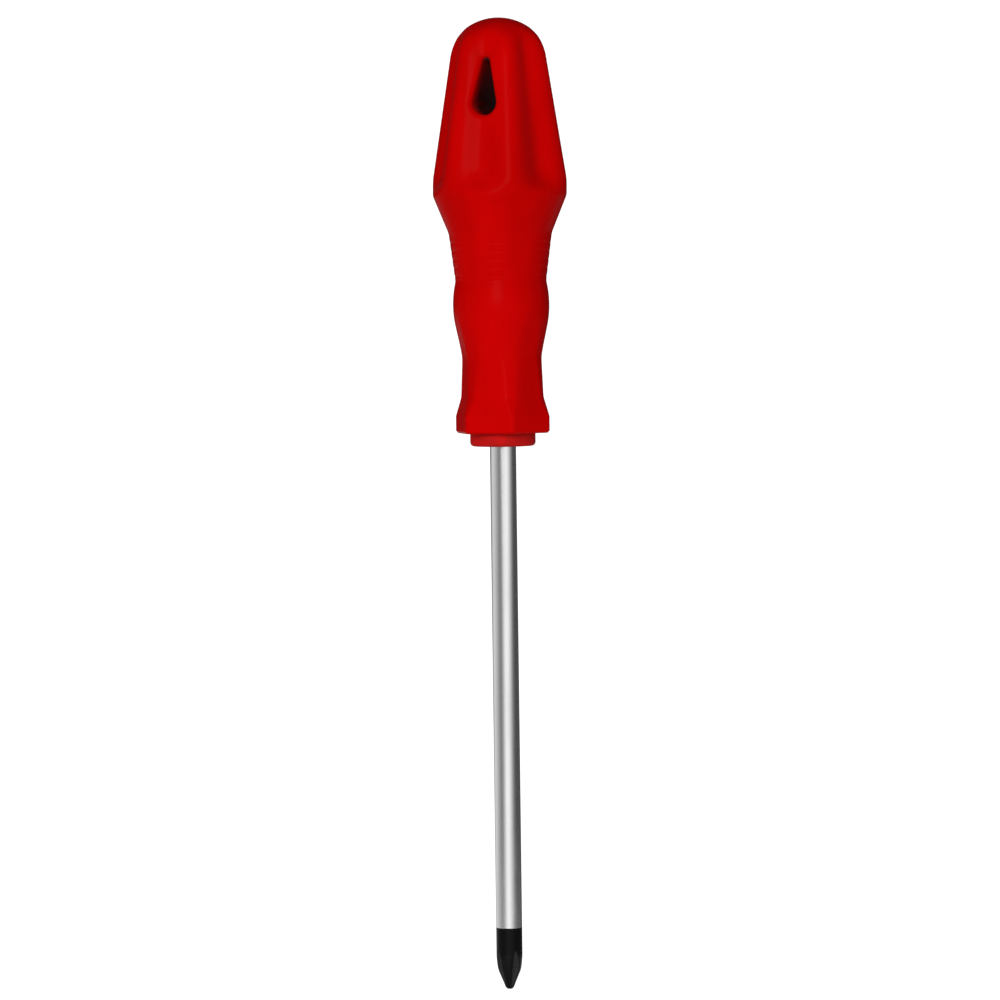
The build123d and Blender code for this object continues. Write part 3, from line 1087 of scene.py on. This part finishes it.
def floor_finish():
    """Pale matt floor with a painted glow: its emission brightens towards the rim, standing in for the light on a
    studio sweep.
    """
    material, nodes, shader = new_finish("pale_floor", Roughness=0.9, Emission_Strength=1.0)
    x, y, _ = nodes.split(object_place(nodes))
    # painted light: the floor glows, and more so towards its rim
    away = nodes.smooth_step((x * x + y * y).sqrt(), FLOOR_RADIUS * 0.3, FLOOR_RADIUS * 0.8)
    glow = nodes.mix(away, grey(0.36), grey(0.6))
    cloud = nodes.noise(object_place(nodes), 3.0, 2.0)
    feed(nodes, shader, Base_Color=nodes.mix(cloud, grey(0.86), grey(0.9)), Emission_Color=glow)
    return material


# --- stage ---
FLOOR_RADIUS = 1.8
FLOOR_GAP = 0.25
FLOOR_THICKNESS = 0.002
FLOOR_COLUMNS = 96
# Brightness round the tool: place (0.5 is towards the camera) and value.
WORLD_STOPS = (
    (0.000, 0.02), (0.05, 0.05), (0.095, 0.40), (0.158, 0.67), (0.242, 0.52), (0.306, 0.33),
    (0.361, 0.165), (0.40, 0.18), (0.444, 0.45), (0.478, 0.75), (0.508, 0.96), (0.556, 0.92),
    (0.611, 0.55), (0.667, 0.18), (0.725, 0.06), (0.797, 0.06), (0.889, 0.08), (1.000, 0.04),
)
WORLD_STRENGTH = 1.2
WORLD_SLANT = 0.85            # turns that the bands lean over, for each unit of height
WORLD_SLANT_FROM = -0.078
WORLD_BANDS = (0.12, 0.3)     # heights between which the bands fade
WORLD_LOW, WORLD_HIGH = 0.42, 0.06
# Key lamp: turn and lift from the camera's direction in degrees, distance, sides and power.
KEY_LAMP = (-10.0, 15.0, 1.6, (0.6, 0.6), 18.3)


# --- operators ---
class SCREWDRIVER_OT_blade(bpy.types.Operator):
    """Build the blade: plated bar, black cross-head tip and winged tang"""

    bl_idname = "screwdriver.blade"
    bl_label = "Blade"

    def execute(self, context):
        sizes = context.scene.screwdriver_blade
        finish = blade_finish(context.scene.screwdriver_finishes, sizes)
        blank = blade_blank(sizes)
        piece = blade_rule(sizes, finish).run(blank, "cross_head_blade", sharp=math.radians(40.0))
        finish_piece(piece, "blade", "blade_steel", blank)
        return {"FINISHED"}


class SCREWDRIVER_OT_core(bpy.types.Operator):
    """Build the handle core, moulded round the blade's tang"""

    bl_idname = "screwdriver.core"
    bl_label = "Handle Core"

    def execute(self, context):
        sizes = context.scene.screwdriver_grip
        finish = core_finish(context.scene.screwdriver_finishes)
        blank = core_blank(sizes, True, "core_blank")
        hole = hole_cutter(sizes)
        cutters = {"Hanging Hole": hole, "Blade": bpy.data.objects["cross_head_blade"]}
        piece = key_rule(sizes, finish, cutters).run(blank, "core_with_nose_ring", sharp=math.radians(40.0))
        finish_piece(piece, "handle_core", "core_plastic", blank, hole)
        return {"FINISHED"}


class SCREWDRIVER_OT_grip(bpy.types.Operator):
    """Build the fluted grip, moulded over the core"""

    bl_idname = "screwdriver.grip"
    bl_label = "Grip"

    def execute(self, context):
        sizes = context.scene.screwdriver_grip
        finish = grip_finish(context.scene.screwdriver_finishes)
        cavity_blank = core_blank(sizes, False, "cavity_blank")
        cavity = key_rule(sizes, finish, {}).run(cavity_blank, "cavity")
        blank = grip_blank(sizes)
        piece = grip_rule(sizes, finish, cavity).run(blank, "fluted_grip", sharp=math.radians(50.0))
        finish_piece(piece, "grip", "grip_plastic", blank, cavity, cavity_blank)
        return {"FINISHED"}


class SCREWDRIVER_OT_stage(bpy.types.Operator):
    """Set the floor, the light and the camera"""

    bl_idname = "screwdriver.stage"
    bl_label = "Stage"

    def execute(self, context):
        settings = context.scene.screwdriver_stage
        add_floor()
        set_world(context.scene, settings)
        add_lamp("key_lamp", settings, *KEY_LAMP)
        add_camera(context.scene, settings)
        context.scene.view_settings.view_transform = "Standard"
        return {"FINISHED"}


def add_floor():
    """A round pale floor below the tip. It lights nothing: the surroundings give the light from below."""
    top, low = TIP_END - FLOOR_GAP, TIP_END - FLOOR_GAP - FLOOR_THICKNESS
    rows = [(0.0, top, {}), (FLOOR_RADIUS, top, {}), (FLOOR_RADIUS, low, {}), (0.0, low, {})]
    blank, _ = turned_blank(rows, [2 * math.pi * k / FLOOR_COLUMNS for k in range(FLOOR_COLUMNS)])
    floor = blank.object("floor")
    floor.data.materials.append(floor_finish())
    floor.visible_diffuse = False


def set_world(scene, settings):
    """Pale surroundings whose brightness changes round the tool, as between the lamps of a studio."""
    world = bpy.data.worlds.new("studio")
    world.use_nodes = True
    scene.world = world
    nodes = Nodes(world.node_tree)
    direction = nodes.node("ShaderNodeTexCoord", output="Generated")
    x, y, z = nodes.split(direction)
    # 0.5 looks from the tool to the camera, and the number grows to the camera's right.
    angle = y.math("ARCTAN2", x) + (math.pi / 2 - settings.azimuth)
    turn = (angle / (2 * math.pi) + 0.5 - (z - WORLD_SLANT_FROM) * WORLD_SLANT).math("FRACT")
    around = nodes.node("ShaderNodeValToRGB", {"stops": WORLD_STOPS}, (turn,))
    dim = nodes.mix(nodes.smooth_step(z, -WORLD_BANDS[0], WORLD_BANDS[0]), grey(WORLD_LOW), grey(WORLD_HIGH))
    glow = nodes.mix(nodes.smooth_step(abs(z), *WORLD_BANDS), around, dim)
    seen = nodes.node("ShaderNodeLightPath", output="Is Camera Ray")
    colour_out = nodes.mix(seen, glow, grey(1.0))
    light = nodes.node("ShaderNodeBackground", {}, {"Color": colour_out, "Strength": WORLD_STRENGTH})
    nodes.node("ShaderNodeOutputWorld", {}, {"Surface": light})


def camera_axes(settings):
    """The camera's direction from the tool, and its right and up before the roll."""
    a, e = settings.azimuth, settings.elevation
    back = Vector((math.sin(a) * math.cos(e), -math.cos(a) * math.cos(e), math.sin(e)))
    right = Vector((math.cos(a), math.sin(a), 0.0))
    return back, right, back.cross(right)


def add_lamp(name, settings, turn, lift, distance, size, power):
    """A soft square lamp aimed at the tool, turned from the camera's direction."""
    data = bpy.data.lights.new(name, "AREA")
    data.shape = "RECTANGLE"
    data.size, data.size_y = size
    data.energy = power
    a = settings.azimuth + math.radians(turn)
    e = math.radians(lift)
    away = Vector((math.sin(a) * math.cos(e), -math.cos(a) * math.cos(e), math.sin(e)))
    lamp = bpy.data.objects.new(name, data)
    aim = Vector((0, 0, (cad_low.z + cad_high.z) / 2))
    turned = away.to_track_quat("Z", "Y").to_matrix().to_4x4()
    lamp.matrix_world = Matrix.Translation(aim + away * distance) @ turned
    bpy.context.scene.collection.objects.link(lamp)


def add_camera(scene, settings):
    data = bpy.data.cameras.new("camera")
    data.lens = settings.lens
    data.sensor_width = 36.0
    data.dof.use_dof = False
    camera = bpy.data.objects.new("camera", data)
    scene.collection.objects.link(camera)
    back, right, up = camera_axes(settings)
    roll = settings.roll
    aim = Vector((0, 0, (cad_low.z + cad_high.z) / 2))
    across = right * math.cos(roll) - up * math.sin(roll)
    upward = right * math.sin(roll) + up * math.cos(roll)
    distance = settings.view_width * data.lens / data.sensor_width
    place = aim + across * settings.aim_right + upward * settings.aim_up + back * distance
    turn = Matrix((across, upward, back)).transposed().to_4x4()
    camera.matrix_world = Matrix.Translation(place) @ turn
    data.clip_start, data.clip_end = distance * 0.05, distance * 20
    scene.camera = camera


class VIEW3D_PT_screwdriver(bpy.types.Panel):
    """Sizes, colours and makers of the screwdriver"""

    bl_label = "Screwdriver"
    bl_idname = "VIEW3D_PT_screwdriver"
    bl_space_type = "VIEW_3D"
    bl_region_type = "UI"
    bl_category = "Screwdriver"

    def draw(self, context):
        layout = self.layout
        for group in (context.scene.screwdriver_blade, context.scene.screwdriver_grip,
                      context.scene.screwdriver_finishes, context.scene.screwdriver_stage):
            box = layout.box()
            for name in group.__annotations__:
                box.prop(group, name)
        for operator in OPERATORS:
            layout.operator(operator.bl_idname)


OPERATORS = (SCREWDRIVER_OT_blade, SCREWDRIVER_OT_core, SCREWDRIVER_OT_grip, SCREWDRIVER_OT_stage)
CLASSES = (GripSizes, BladeSizes, Finishes, StageSizes, *OPERATORS, VIEW3D_PT_screwdriver)


def register():
    for made in CLASSES:
        bpy.utils.register_class(made)
    bpy.types.Scene.screwdriver_grip = PointerProperty(type=GripSizes)
    bpy.types.Scene.screwdriver_blade = PointerProperty(type=BladeSizes)
    bpy.types.Scene.screwdriver_finishes = PointerProperty(type=Finishes)
    bpy.types.Scene.screwdriver_stage = PointerProperty(type=StageSizes)


def unregister():
    for name in ("screwdriver_grip", "screwdriver_blade", "screwdriver_finishes", "screwdriver_stage"):
        delattr(bpy.types.Scene, name)
    for made in reversed(CLASSES):
        bpy.utils.unregister_class(made)


def main():
    register()
    bpy.ops.screwdriver.blade()
    bpy.ops.screwdriver.core()
    bpy.ops.screwdriver.grip()
    bpy.ops.screwdriver.stage()


if __name__ == "__main__":
    main()
